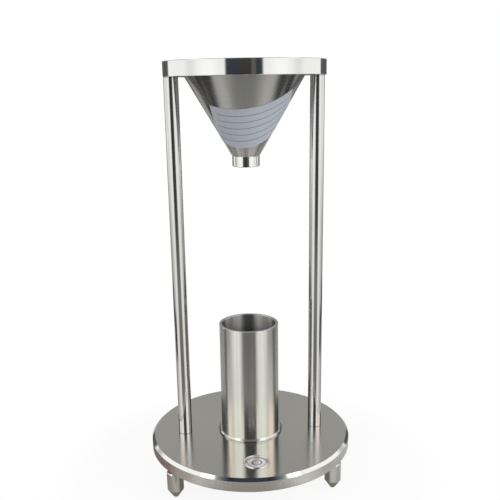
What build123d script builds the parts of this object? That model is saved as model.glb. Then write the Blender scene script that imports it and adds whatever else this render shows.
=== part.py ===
from build123d import *
import os
from math import atan2, cos, hypot, pi, radians, sin, tan

# Bulk density tester: powder runs out of a funnel into a measuring cup that stands on a levelled plate.
# Millimetres. +Z is up, z = 0 is the surface under the feet, and Z is the axis of funnel, cup and plate.
# The bubble level marks the front, at -Y, and the two posts stand on the X axis.

# Base plate
plate_diameter = 150.0
plate_thickness = 10.0
plate_top_chamfer = 2.0
plate_bottom_chamfer = 1.0
plate_hole_roof = 1.5  # metal left above the blind holes for the feet

# Measuring cup
cup_volume = 100_000.0  # cubic millimetres
cup_bore = 39.0
cup_wall = 2.25
cup_rim_break = 0.2
cup_flange_width = 2.25
cup_flange_bevel = 1.0
cup_base_thickness = 3.0
cup_recess_depth = 1.0
cup_recess_clearance = 0.3

# Funnel
drop_height = 115.0  # from the outlet down to the rim of the cup
outlet_bore = 12.7
outlet_wall = 3.15
outlet_length = 7.1
outlet_edge_break = 0.4
cone_half_angle = 30.4  # degrees
cone_wall = 1.5
funnel_rim_wall = 1.8
funnel_rim_break = 0.3
funnel_shoulder = 2.25  # width of the step that rests on the ring's lip
funnel_clearance = 0.3

# Label on the cone
label_width = 62.0
label_height = 30.0
label_thickness = 0.15
label_glue = 0.02
label_margin = 9.2  # bare cone between the outlet and the label's lower edge
label_tilt = 15.7  # degrees
label_azimuth = 13.9  # degrees from the front towards +X
label_blank_arc = 250.0  # degrees of the shell that the label is cut from

# Top ring
ring_diameter = 110.0
ring_height = 10.0
ring_land = 10.5
ring_lip_height = 2.0
ring_lip_clearance = 0.4
ring_edge_break = 0.3

# Posts
post_diameter = 10.0
post_end_chamfer = 0.4

# Cap screws, and the holes that they need
base_screw_thread = 5.0
base_screw_head_diameter = 8.5
base_screw_head_height = 5.0
base_screw_socket_width = 4.0
base_screw_grip = 10.0
ring_screw_thread = 4.0
ring_screw_head_diameter = 7.0
ring_screw_head_height = 4.0
ring_screw_socket_width = 3.0
ring_screw_grip = 8.0
screw_socket_share = 0.5  # depth of the hexagon socket in its head
screw_head_recess = 0.5
screw_head_clearance = 0.35
screw_hole_clearance = 0.25
thread_clearance = 0.05
tap_runout = 3.0

# Levelling feet
foot_edge_distance = 8.0  # from the plate's edge to the middle of a foot
foot_barrel_diameter = 12.0
foot_barrel_length = 14.0
foot_barrel_chamfer = 0.8
foot_tip_length = 6.5
foot_tip_diameter = 3.4
foot_tip_round = 0.6
foot_gap = 4.0
foot_travel_up = 2.0
foot_stud_diameter = 6.0
foot_stud_grip = 8.0
foot_stud_end_gap = 0.5
foot_stud_chamfer = 0.5
foot_angles = {"front_left": 210.0, "front_right": 330.0, "rear": 90.0}  # degrees from +X

# Bubble level
level_diameter = 18.4
level_edge_distance = 23.0  # from the plate's edge to the middle of the level
level_clearance = 0.1
level_plate_floor = 3.0  # plate left under the level's pocket
level_proud = 0.3
level_wall = 1.0
level_floor = 0.8
level_fit = 0.05
level_dial_thickness = 0.5
level_lens_thickness = 1.6
level_lens_hollow = 0.35  # how far the lens is dished underneath
level_lens_recess = 0.15
level_bubble_radius = 2.6
level_bubble_depth = 1.4
level_bubble_shift = (-0.9, 0.6)

# Heights, from the feet upwards
foot_top = foot_tip_length + foot_barrel_length
plate_bottom = foot_top + foot_gap
plate_top = plate_bottom + plate_thickness
cup_seat = plate_top - cup_recess_depth
cup_floor = cup_seat + cup_base_thickness
cup_rim = cup_floor + cup_volume / (pi * (cup_bore / 2) ** 2)
outlet_bottom = cup_rim + drop_height
outlet_top = outlet_bottom + outlet_length

# Radii of the funnel and its ring, from the ring inwards
ring_radius = ring_diameter / 2
ring_bore_radius = ring_radius - ring_land
funnel_rim_radius = ring_bore_radius - funnel_clearance
funnel_mouth_radius = funnel_rim_radius - funnel_rim_wall
cone_top_radius = funnel_rim_radius - funnel_shoulder
ring_lip_radius = cone_top_radius + ring_lip_clearance
outlet_radius = outlet_bore / 2
outlet_outer_radius = outlet_radius + outlet_wall

# The cone runs from the outlet up to the step under the rim
cone_slope = tan(radians(cone_half_angle))
cone_wall_across = cone_wall / cos(radians(cone_half_angle))
cone_top = outlet_top + (cone_top_radius - outlet_outer_radius) / cone_slope
cone_apex = outlet_top - outlet_outer_radius / cone_slope
ring_bottom = cone_top - ring_lip_height
ring_top = ring_bottom + ring_height

# Posts stand under the middle of the ring's land
post_radius = post_diameter / 2
post_offset = ring_radius - ring_land / 2
post_length = ring_bottom - plate_top
post_sides = {"post_left": -1, "post_right": 1}
base_screw_recess = base_screw_head_height + screw_head_recess
ring_screw_recess = ring_screw_head_height + screw_head_recess

# Feet
foot_circle_diameter = plate_diameter - 2 * foot_edge_distance
foot_barrel_radius = foot_barrel_diameter / 2
foot_tip_radius = foot_tip_diameter / 2
foot_stud_radius = foot_stud_diameter / 2
foot_hole_radius = foot_stud_radius + thread_clearance
foot_hole_depth = plate_thickness - plate_hole_roof
foot_stud_top = plate_bottom + foot_hole_depth - foot_stud_end_gap - foot_travel_up
foot_places = {
    name: (foot_circle_diameter / 2 * cos(radians(angle)), foot_circle_diameter / 2 * sin(radians(angle)))
    for name, angle in foot_angles.items()
}

# Bubble level
level_offset = plate_diameter / 2 - level_edge_distance
level_radius = level_diameter / 2
level_inner_radius = level_radius - level_wall
level_bottom = plate_bottom + level_plate_floor
level_top = plate_top + level_proud
level_dial_bottom = level_bottom + level_floor
level_dial_top = level_dial_bottom + level_dial_thickness
level_fill_radius = level_inner_radius - level_fit
level_lens_top = level_top - level_lens_recess
level_lens_bottom = level_lens_top - level_lens_thickness
level_lens_crown = level_lens_bottom + level_lens_hollow


def upright(x, y):
    """Plane for a turned profile: its x is the radius from the axis at (x, y), its y is the height."""
    return Plane(origin=(x, y, 0), x_dir=(1, 0, 0), z_dir=(0, -1, 0))


def facing_down(x, y, z):
    """Plane on an underside, for holes and screws that go in from beneath."""
    return Plane(origin=(x, y, z), x_dir=(1, 0, 0), z_dir=(0, 0, -1))


def facing_up(x, y, z):
    """Plane on a top face, for holes and screws that go in from above."""
    return Plane(origin=(x, y, z))


def label_point(across, along):
    """Point on the cone where a flat label lands: straight label lines stay straight on the unrolled cone."""
    tilt = radians(label_tilt)
    half_angle = radians(cone_half_angle)
    centre_slant = outlet_outer_radius / sin(half_angle) + label_margin + label_height / 2
    flat_x = across * cos(tilt) - along * sin(tilt)
    flat_y = centre_slant + across * sin(tilt) + along * cos(tilt)
    slant = hypot(flat_x, flat_y)
    azimuth = radians(label_azimuth) + atan2(flat_x, flat_y) / sin(half_angle)
    radius = slant * sin(half_angle)
    return Vector(radius * sin(azimuth), -radius * cos(azimuth), cone_apex + slant * cos(half_angle))


def label_cut(start, end):
    """Plane through one edge of the label, its normal towards the label's middle."""
    middle = ((start[0] + end[0]) / 2, (start[1] + end[1]) / 2)
    first, centre, last = label_point(*start), label_point(*middle), label_point(*end)
    normal = (centre - first).cross(last - first)
    if normal.dot(label_point(0, 0) - centre) < 0:
        normal = normal * -1
    return Plane(origin=centre, z_dir=normal)


os.makedirs("parts", exist_ok=True)
finished = []

# Base plate: bevelled disc with the cup's seat, the level's pocket, post screw holes and blind foot holes
with BuildPart() as base_plate:
    with BuildSketch(Plane.XY.offset(plate_bottom)):
        Circle(plate_diameter / 2)
    extrude(amount=plate_thickness)
    chamfer(base_plate.edges().group_by(Axis.Z)[-1], plate_top_chamfer)
    chamfer(base_plate.edges().group_by(Axis.Z)[0], plate_bottom_chamfer)
    with Locations(facing_up(0, 0, plate_top)):
        Hole(cup_bore / 2 + cup_wall + cup_flange_width + cup_recess_clearance, cup_recess_depth)
    with Locations(facing_up(0, -level_offset, plate_top)):
        Hole(level_radius + level_clearance, plate_top - level_bottom)
    with Locations(*[facing_down(side * post_offset, 0, plate_bottom) for side in post_sides.values()]):
        CounterBoreHole(
            base_screw_thread / 2 + screw_hole_clearance,
            base_screw_head_diameter / 2 + screw_head_clearance,
            base_screw_recess,
        )
    with Locations(*[facing_down(x, y, plate_bottom) for x, y in foot_places.values()]):
        Hole(foot_hole_radius, foot_hole_depth)
base_plate.part.label = "base_plate"
finished.append(base_plate.part)

# Posts: plain rods, tapped at both ends
for name, side in post_sides.items():
    with BuildPart() as post:
        with BuildSketch(facing_up(side * post_offset, 0, plate_top)):
            Circle(post_radius)
        extrude(amount=post_length)
        chamfer(post.edges().filter_by(GeomType.CIRCLE), post_end_chamfer)
        with Locations(facing_down(side * post_offset, 0, plate_top)):
            Hole(base_screw_thread / 2 + thread_clearance, base_screw_grip + tap_runout)
        with Locations(facing_up(side * post_offset, 0, ring_bottom)):
            Hole(ring_screw_thread / 2 + thread_clearance, ring_screw_grip + tap_runout)
    post.part.label = name
    finished.append(post.part)

# Top ring: a lip inside its lower edge carries the funnel, and counterbores take the post screws
with BuildPart() as top_ring:
    with BuildSketch(Plane.XZ):
        with BuildLine():
            Polyline(
                (ring_lip_radius, ring_bottom),
                (ring_radius - ring_edge_break, ring_bottom),
                (ring_radius, ring_bottom + ring_edge_break),
                (ring_radius, ring_top - ring_edge_break),
                (ring_radius - ring_edge_break, ring_top),
                (ring_bore_radius, ring_top),
                (ring_bore_radius, cone_top),
                (ring_lip_radius, cone_top),
                close=True,
            )
        make_face()
    revolve(axis=Axis.Z)
    with Locations(*[facing_up(side * post_offset, 0, ring_top) for side in post_sides.values()]):
        CounterBoreHole(
            ring_screw_thread / 2 + screw_hole_clearance,
            ring_screw_head_diameter / 2 + screw_head_clearance,
            ring_screw_recess,
        )
top_ring.part.label = "top_ring"
finished.append(top_ring.part)

# Socket-head screws: one pair holds the posts to the plate from beneath, one the ring to the posts
screw_pairs = {
    "post_base_screws": (
        [facing_down(side * post_offset, 0, plate_bottom + base_screw_recess) for side in post_sides.values()],
        base_screw_thread / 2,
        base_screw_head_diameter / 2,
        base_screw_head_height,
        base_screw_socket_width / 2,
        plate_thickness - base_screw_recess + base_screw_grip,
    ),
    "ring_screws": (
        [facing_up(side * post_offset, 0, ring_top - ring_screw_recess) for side in post_sides.values()],
        ring_screw_thread / 2,
        ring_screw_head_diameter / 2,
        ring_screw_head_height,
        ring_screw_socket_width / 2,
        ring_height - ring_screw_recess + ring_screw_grip,
    ),
}
for name, (seats, thread_radius, head_radius, head_height, socket_radius, shank_length) in screw_pairs.items():
    with BuildPart() as screws:
        with BuildSketch(*seats):
            Circle(head_radius)
        extrude(amount=head_height)
        with BuildSketch(*seats):
            Circle(thread_radius)
        extrude(amount=-shank_length)
        with BuildSketch(*[seat.offset(head_height) for seat in seats]):
            RegularPolygon(socket_radius, 6, major_radius=False)
        extrude(amount=-head_height * screw_socket_share, mode=Mode.SUBTRACT)
    screws.part.label = name
    finished.append(screws.part)

# Funnel: a turned cone with a straight rim, whose step rests on the ring's lip
with BuildPart() as funnel_cone:
    with BuildSketch(Plane.XZ):
        with BuildLine():
            Polyline(
                (outlet_outer_radius - cone_wall_across, outlet_top),
                (outlet_outer_radius, outlet_top),
                (cone_top_radius, cone_top),
                (funnel_rim_radius, cone_top),
                (funnel_rim_radius, ring_top - funnel_rim_break),
                (funnel_rim_radius - funnel_rim_break, ring_top),
                (funnel_mouth_radius + funnel_rim_break, ring_top),
                (funnel_mouth_radius, ring_top - funnel_rim_break),
                (funnel_mouth_radius, cone_apex + (funnel_mouth_radius + cone_wall_across) / cone_slope),
                close=True,
            )
        make_face()
    revolve(axis=Axis.Z)
funnel_cone.part.label = "funnel_cone"
finished.append(funnel_cone.part)

# Outlet: a bored nozzle brazed under the cone, its entry in line with the cone's inside
with BuildPart() as funnel_outlet:
    with BuildSketch(Plane.XZ):
        with BuildLine():
            Polyline(
                (outlet_radius, outlet_bottom),
                (outlet_outer_radius - outlet_edge_break, outlet_bottom),
                (outlet_outer_radius, outlet_bottom + outlet_edge_break),
                (outlet_outer_radius, outlet_top),
                (outlet_outer_radius - cone_wall_across, outlet_top),
                (outlet_radius, cone_apex + (outlet_radius + cone_wall_across) / cone_slope),
                close=True,
            )
        make_face()
    revolve(axis=Axis.Z)
funnel_outlet.part.label = "funnel_outlet"
finished.append(funnel_outlet.part)

# Label: a thin sheet that follows the cone, trimmed along the four edges of a rectangle
label_inner = label_glue / cos(radians(cone_half_angle))
label_outer = (label_glue + label_thickness) / cos(radians(cone_half_angle))
label_start = radians(label_azimuth - label_blank_arc / 2)
with BuildPart() as funnel_label:
    start_direction = Vector(sin(label_start), -cos(label_start), 0)
    with BuildSketch(Plane(origin=(0, 0, 0), x_dir=start_direction, z_dir=start_direction.cross(Vector(0, 0, 1)))):
        with BuildLine():
            Polyline(
                (outlet_outer_radius + label_inner, outlet_top),
                (outlet_outer_radius + label_outer, outlet_top),
                (cone_top_radius + label_outer, cone_top),
                (cone_top_radius + label_inner, cone_top),
                close=True,
            )
        make_face()
    revolve(axis=Axis.Z, revolution_arc=label_blank_arc)
    label_corners = [
        (-label_width / 2, -label_height / 2),
        (label_width / 2, -label_height / 2),
        (label_width / 2, label_height / 2),
        (-label_width / 2, label_height / 2),
    ]
    for corner, next_corner in zip(label_corners, label_corners[1:] + label_corners[:1]):
        split(bisect_by=label_cut(corner, next_corner), keep=Keep.TOP)
funnel_label.part.label = "funnel_label"
finished.append(funnel_label.part)

# Cup wall: a straight tube with its rim ground flat
with BuildPart() as cup_tube:
    with BuildSketch(Plane.XY.offset(cup_floor)):
        Circle(cup_bore / 2 + cup_wall)
        Circle(cup_bore / 2, mode=Mode.SUBTRACT)
    extrude(amount=cup_rim - cup_floor)
    chamfer(cup_tube.edges().group_by(Axis.Z)[-1], cup_rim_break)
cup_tube.part.label = "cup_tube"
finished.append(cup_tube.part)

# Cup base: the floor of the cup, wider than its wall by a bevelled flange
with BuildPart() as cup_base:
    with BuildSketch(Plane.XY.offset(cup_seat)):
        Circle(cup_bore / 2 + cup_wall + cup_flange_width)
    extrude(amount=cup_base_thickness)
    chamfer(cup_base.edges().group_by(Axis.Z)[-1], cup_flange_bevel)
cup_base.part.label = "cup_base"
finished.append(cup_base.part)

# Bubble level: housing in the plate's pocket, dial on its floor, fluid with a bubble, and a dished lens
with BuildPart() as level_housing:
    with BuildSketch(facing_up(0, -level_offset, level_bottom)):
        Circle(level_radius)
    extrude(amount=level_top - level_bottom)
    with Locations(facing_up(0, -level_offset, level_top)):
        Hole(level_inner_radius, level_top - level_dial_bottom)
level_housing.part.label = "level_housing"
finished.append(level_housing.part)

with BuildPart() as level_dial:
    with BuildSketch(facing_up(0, -level_offset, level_dial_bottom)):
        Circle(level_fill_radius)
    extrude(amount=level_dial_thickness)
level_dial.part.label = "level_dial"
finished.append(level_dial.part)

with BuildPart() as level_fluid:
    with BuildSketch(upright(0, -level_offset)):
        with BuildLine():
            Polyline(
                (0, level_lens_crown),
                (0, level_dial_top),
                (level_fill_radius, level_dial_top),
                (level_fill_radius, level_lens_bottom),
            )
            TangentArc((0, level_lens_crown), (level_fill_radius, level_lens_bottom), tangent=(1, 0))
        make_face()
    revolve(axis=Axis((0, -level_offset, 0), (0, 0, 1)))
    bubble_x, bubble_y = level_bubble_shift
    bubble_height = level_lens_crown - level_bubble_depth + level_bubble_radius
    with Locations((bubble_x, bubble_y - level_offset, bubble_height)):
        Sphere(level_bubble_radius, mode=Mode.SUBTRACT)
level_fluid.part.label = "level_fluid"
finished.append(level_fluid.part)

with BuildPart() as level_lens:
    with BuildSketch(upright(0, -level_offset)):
        with BuildLine():
            TangentArc((0, level_lens_crown), (level_fill_radius, level_lens_bottom), tangent=(1, 0))
            Polyline(
                (level_fill_radius, level_lens_bottom),
                (level_fill_radius, level_lens_top),
                (0, level_lens_top),
                (0, level_lens_crown),
            )
        make_face()
    revolve(axis=Axis((0, -level_offset, 0), (0, 0, 1)))
level_lens.part.label = "level_lens"
finished.append(level_lens.part)

# Feet: a pointed barrel on a threaded stud, which screws into the plate from beneath
for name, (foot_x, foot_y) in foot_places.items():
    with BuildPart() as foot:
        with BuildSketch(upright(foot_x, foot_y)):
            with BuildLine():
                Polyline(
                    (0, 0),
                    (foot_tip_radius, 0),
                    (foot_barrel_radius, foot_tip_length),
                    (foot_barrel_radius, foot_top - foot_barrel_chamfer),
                    (foot_barrel_radius - foot_barrel_chamfer, foot_top),
                    (foot_hole_radius, foot_top),
                    (foot_hole_radius, foot_top - foot_stud_grip),
                    (0, foot_top - foot_stud_grip),
                    close=True,
                )
            make_face()
        revolve(axis=Axis((foot_x, foot_y, 0), (0, 0, 1)))
        fillet(foot.edges().group_by(Axis.Z)[0], foot_tip_round)
    foot.part.label = f"foot_{name}"
    finished.append(foot.part)

    with BuildPart() as stud:
        with BuildSketch(facing_up(foot_x, foot_y, foot_top - foot_stud_grip)):
            Circle(foot_stud_radius)
        extrude(amount=foot_stud_top - foot_top + foot_stud_grip)
        chamfer(stud.edges().filter_by(GeomType.CIRCLE), foot_stud_chamfer)
    stud.part.label = f"foot_stud_{name}"
    finished.append(stud.part)

for piece in finished:
    export_step(piece, f"parts/{piece.label}.step")
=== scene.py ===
"""Looks of a bulk density tester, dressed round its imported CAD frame.

Metres, +Z up, the bubble level at the front (-Y), z = 0 under the feet. Most turned parts keep their CAD
shape and get their finish here. The cup's wall, the label, the screws, the foot studs and the spirit, rim
and marks of the bubble level are surfaces worked out on grids.
"""

import logging
import math
from dataclasses import dataclass, field, replace
from enum import Enum
from typing import Any, Callable, Dict, List, Mapping, Sequence, Tuple, Union

import bpy
import numpy as np
from mathutils import Matrix, Vector


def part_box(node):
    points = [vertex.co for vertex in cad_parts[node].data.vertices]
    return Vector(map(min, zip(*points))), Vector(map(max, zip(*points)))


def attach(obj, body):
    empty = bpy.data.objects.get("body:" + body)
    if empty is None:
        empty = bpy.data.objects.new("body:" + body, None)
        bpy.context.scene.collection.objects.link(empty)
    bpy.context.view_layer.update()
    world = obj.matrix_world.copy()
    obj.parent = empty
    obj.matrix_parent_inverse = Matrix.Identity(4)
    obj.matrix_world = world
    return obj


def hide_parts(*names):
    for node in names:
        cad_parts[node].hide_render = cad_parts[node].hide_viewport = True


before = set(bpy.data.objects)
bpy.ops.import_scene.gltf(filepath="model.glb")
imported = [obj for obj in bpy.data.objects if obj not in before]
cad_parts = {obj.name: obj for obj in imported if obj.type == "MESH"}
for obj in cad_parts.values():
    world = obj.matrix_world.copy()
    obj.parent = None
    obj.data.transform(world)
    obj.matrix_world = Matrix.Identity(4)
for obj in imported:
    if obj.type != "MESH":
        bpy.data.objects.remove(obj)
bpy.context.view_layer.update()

log = logging.getLogger("density_tester")

MM = 0.001
LABEL_UV = "label"
FOOT_PLACES = ("front_left", "front_right", "rear")
THREAD_DEPTH = 0.54  # of a metric thread, as a share of its pitch
STREAK_STRETCH = (1.0, 1.0, 300.0)  # the streaks of a drawn tube are long upwards
OVAL_POINTS = 20
EDGE_SAMPLES = 4
EDGE_LEAN = (0.004, 0.07)  # one less the cosine of a lean, where wear starts and where it is full
MIX_AMOUNT, MIX_FIRST, MIX_SECOND, MIX_RESULT = 0, 6, 7, 2  # sockets of a Mix node that mixes colours

Colour = Tuple[float, float, float]
Pair = Tuple[float, float]
Skin = Tuple[np.ndarray, List[List[int]]]


class Detail(Enum):
    """Octaves of a noise."""

    SOFT = 2.0
    PLAIN = 3.0
    FINE = 4.0


class Crease(Enum):
    """Angle in degrees past which an edge of a piece stays sharp."""

    WALL = 30.0
    SCREW = 32.0
    SHEET = 40.0
    THREAD = 50.0
    ROUND = 60.0
    NONE = 180.0


def math_method(operation: str, last: bool = False) -> Callable[..., "Value"]:
    """Makes a method of a value that adds one Math node.

    Args:
        operation: the node's operation.
        last: whether the value comes after the other operand, as where a plain number stands in front.

    Returns:
        The method, which gives the node's result.
    """
    def method(value: "Value", *others: "Operand") -> "Value":
        """Result of the operation on this value and the others."""
        operands = (*others, value) if last else (value, *others)
        return value.graph.math(operation, *operands)

    return method


class Value:
    """A number that varies over a surface, held as an output socket.

    Python's operators on it add Math nodes, so that a shader formula reads as ordinary arithmetic.
    """

    __add__ = math_method("ADD")
    __radd__ = math_method("ADD", last=True)
    __sub__ = math_method("SUBTRACT")
    __rsub__ = math_method("SUBTRACT", last=True)
    __mul__ = math_method("MULTIPLY")
    __truediv__ = math_method("DIVIDE")
    __pow__ = math_method("POWER")
    __abs__ = math_method("ABSOLUTE")
    root = math_method("SQRT")
    fraction = math_method("FRACT")
    largest = math_method("MAXIMUM")

    def __init__(self, graph: "Graph", socket: bpy.types.NodeSocket) -> None:
        """Wraps one output socket of a graph."""
        self.graph = graph
        self.socket = socket

    def step(self, low: float, high: float) -> "Value":
        """Smooth step from 0 at or below low to 1 at or above high.

        Args:
            low: where the step starts.
            high: where it ends; below low, the step runs the other way.

        Returns:
            The step, from 0 to 1.
        """
        sockets = {"Value": self, "From Min": low, "From Max": high}
        if high < low:
            sockets = {"Value": self, "From Min": high, "From Max": low, "To Min": 1.0, "To Max": 0.0}
        node = self.graph.add("MapRange", {"interpolation_type": "SMOOTHSTEP"}, sockets)
        return Value(self.graph, node.outputs["Result"])

    def within(self, low: float, high: float, soft: float) -> "Value":
        """1 between two limits and 0 outside them.

        Args:
            low: lower limit.
            high: upper limit.
            soft: half the width of the change at each limit.

        Returns:
            The mask, from 0 to 1.
        """
        return self.step(low - soft, low + soft) * self.step(high + soft, high - soft)


Operand = Union[Value, float]
Feed = Union[Value, bpy.types.NodeSocket, float, Sequence[float]]


def axis_distance(x: Value, y: Value, axis: Pair = (0.0, 0.0)) -> Value:
    """Distance from an upright axis."""
    return ((x - axis[0]) ** 2 + (y - axis[1]) ** 2).root()


def toned(colour: Colour, share: float) -> Colour:
    """A colour made darker or paler by a share, up to white."""
    return tuple(min(1.0, share * part) for part in colour)


class Graph:
    """The nodes of one material, or of the world."""

    def __init__(self, owner: Union[bpy.types.Material, bpy.types.World]) -> None:
        """Starts an empty node tree on its owner."""
        owner.use_nodes = True
        self.tree = owner.node_tree
        self.tree.nodes.clear()

    def add(
        self, kind: str, settings: Mapping[str, Any] = {}, inputs: Mapping[Any, Feed] = {},
    ) -> bpy.types.Node:
        """Adds any node.

        Args:
            kind: the node's type without its ShaderNode prefix.
            settings: the node's own settings, set before its sockets.
            inputs: value, colour or link for each socket, by name or index.

        Returns:
            The new node.
        """
        node = self.tree.nodes.new("ShaderNode" + kind)
        for name, setting in settings.items():
            setattr(node, name, setting)
        for key, given in inputs.items():
            socket = node.inputs[key]
            if isinstance(given, Value):
                self.tree.links.new(given.socket, socket)
            elif isinstance(given, bpy.types.NodeSocket):
                self.tree.links.new(given, socket)
            elif socket.type == "RGBA":
                socket.default_value = (*given, 1.0)
            else:
                socket.default_value = given
        return node

    def math(self, operation: str, *operands: Operand) -> Value:
        """Adds one Math node.

        Args:
            operation: the node's operation.
            operands: values or plain numbers, in order.

        Returns:
            The node's result.
        """
        node = self.add("Math", {"operation": operation}, dict(enumerate(operands)))
        return Value(self, node.outputs[0])

    def mix(self, amount: Operand, first: Feed, second: Feed) -> bpy.types.NodeSocket:
        """Colour between two colours.

        Args:
            amount: 0 gives the first colour, 1 the second.
            first: colour or link.
            second: colour or link.

        Returns:
            The mixed colour's socket.
        """
        sockets = {MIX_AMOUNT: amount, MIX_FIRST: first, MIX_SECOND: second}
        return self.add("Mix", {"data_type": "RGBA"}, sockets).outputs[MIX_RESULT]

    def blend(self, amount: Operand, first: Feed, second: Feed) -> bpy.types.NodeSocket:
        """Shader between two shaders, by the same rule."""
        return self.add("MixShader", {}, {0: amount, 1: first, 2: second}).outputs[0]

    def glow(self, colour: Feed) -> bpy.types.NodeSocket:
        """Shader of a surface that gives off a colour as it is written."""
        return self.add("Emission", {}, {"Color": colour, "Strength": 1.0}).outputs[0]

    def clear(self, tint: Colour = (1.0, 1.0, 1.0)) -> bpy.types.NodeSocket:
        """Shader of a surface that lets the view through."""
        return self.add("BsdfTransparent", {}, {"Color": tint}).outputs[0]

    def parts(self, vector: bpy.types.NodeSocket) -> Tuple[Value, Value, Value]:
        """The three numbers of a vector."""
        node = self.add("SeparateXYZ", {}, {0: vector})
        return tuple(Value(self, part) for part in node.outputs)

    def position(self) -> Tuple[Value, Value, Value]:
        """Object coordinates, in metres, which are the row frame's own."""
        return self.parts(self.add("TexCoord").outputs["Object"])

    def noise_along(self, place: Value, pitch: float, detail: Detail = Detail.SOFT) -> Value:
        """Noise that changes along one value only.

        Args:
            place: where along, in metres.
            pitch: length of one wave of the noise, in metres.
            detail: octaves.

        Returns:
            Noise about 0.5.
        """
        sockets = {"W": place / pitch, "Scale": 1.0, "Detail": detail.value}
        node = self.add("TexNoise", {"noise_dimensions": "1D"}, sockets)
        return Value(self, node.outputs["Fac"])

    def noise(
        self, grain: float, detail: Detail = Detail.PLAIN, stretch: Colour = (1.0, 1.0, 1.0),
    ) -> Value:
        """Noise in space.

        Args:
            grain: size of one wave, in metres.
            detail: octaves.
            stretch: how many times longer the grain is along x, y and z.

        Returns:
            Noise about 0.5.
        """
        place = self.add("TexCoord").outputs["Object"]
        scale = tuple(1.0 / share for share in stretch)
        place = self.add("Mapping", {}, {"Vector": place, "Scale": scale}).outputs[0]
        node = self.add("TexNoise", {}, {"Vector": place, "Scale": 1.0 / grain, "Detail": detail.value})
        return Value(self, node.outputs["Fac"])

    def edge(self, radius: float) -> Value:
        """Mask of the sharp edges: how far a normal rounded over the radius leans from the surface's own.

        Args:
            radius: width of the worn band, in metres.

        Returns:
            0 on open faces, 1 on an edge.
        """
        rounded = self.add("Bevel", {"samples": EDGE_SAMPLES}, {"Radius": radius}).outputs[0]
        own = self.add("NewGeometry").outputs["Normal"]
        lean = self.add("VectorMath", {"operation": "DOT_PRODUCT"}, {0: rounded, 1: own}).outputs["Value"]
        return (1.0 - Value(self, lean)).step(*EDGE_LEAN)

    def bump(self, height: Value, depth: float) -> bpy.types.NodeSocket:
        """Normal of a relief.

        Args:
            height: the relief, from 0 to 1.
            depth: what 1 stands for, in metres.

        Returns:
            The normal's socket.
        """
        return self.add("Bump", {}, {"Strength": 1.0, "Distance": depth, "Height": height}).outputs[0]

    def principled(self, inputs: Mapping[str, Feed]) -> bpy.types.NodeSocket:
        """Adds the main surface shader and gives its socket."""
        return self.add("BsdfPrincipled", {}, inputs).outputs[0]

    def finish(self, shader: bpy.types.NodeSocket, kind: str = "OutputMaterial") -> None:
        """Sends a shader to the output."""
        self.add(kind, {}, {"Surface": shader})


class Finish:
    """A surface's look. Each kind is a frozen dataclass with a name and a surface of its own."""

    name: str

    def surface(self, graph: Graph) -> bpy.types.NodeSocket:
        """Adds the finish's nodes and gives its shader's socket."""
        raise NotImplementedError

    def make(self) -> bpy.types.Material:
        """Builds the material.

        Returns:
            The material.
        """
        material = bpy.data.materials.new(self.name)
        graph = Graph(material)
        graph.finish(self.surface(graph))
        return material


@dataclass(frozen=True)
class Zone:
    """Part of a turned piece between two radii and two heights, in metres."""

    radius: Pair = (-1.0, 1.0)
    height: Pair = (-1.0, 1.0)
    soft: Pair = (0.05 * MM, 0.05 * MM)

    def mask(self, radius: Value, height: Value) -> Value:
        """1 inside the zone and 0 outside it.

        Args:
            radius: distance from the lathe axis.
            height: height in the row frame.

        Returns:
            The mask, from 0 to 1.
        """
        return radius.within(*self.radius, self.soft[0]) * height.within(*self.height, self.soft[1])


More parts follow.
